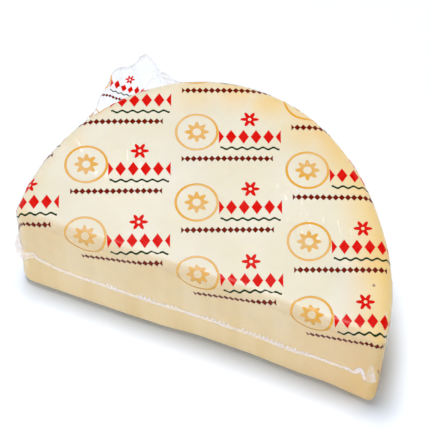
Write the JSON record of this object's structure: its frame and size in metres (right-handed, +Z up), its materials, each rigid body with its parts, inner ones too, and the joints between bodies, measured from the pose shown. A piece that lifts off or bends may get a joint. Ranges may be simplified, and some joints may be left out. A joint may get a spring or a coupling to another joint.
{
  "type": "provolone cheese half-moon",
  "caption": "Thick half-moon slab of pale aged cheese, vacuum-sealed in clear patterned film, with a flat cut face, a welded seam and a loose film tail.",
  "frame": {"origin": "middle of the whole pack's footprint, on the surface it lies on", "axes": "+Z up; the straight cut face looks towards -Y, the rind curves round behind it towards +Y, and X runs along the cut"},
  "size_m": [0.21, 0.1254, 0.0748],
  "materials": {
    "cheese_in_film": "pale cream cheese seen through a soft-gloss clear film",
    "welded_film": "whitish welded clear film",
    "loose_film": "crumpled clear film, nearly white"
  },
  "bodies": {
    "root": {"cheese_in_bag": "cheese_in_film", "bag_seam": "welded_film", "bag_pleat": "welded_film", "bag_tail": "loose_film"}
  },
  "joints": []
}
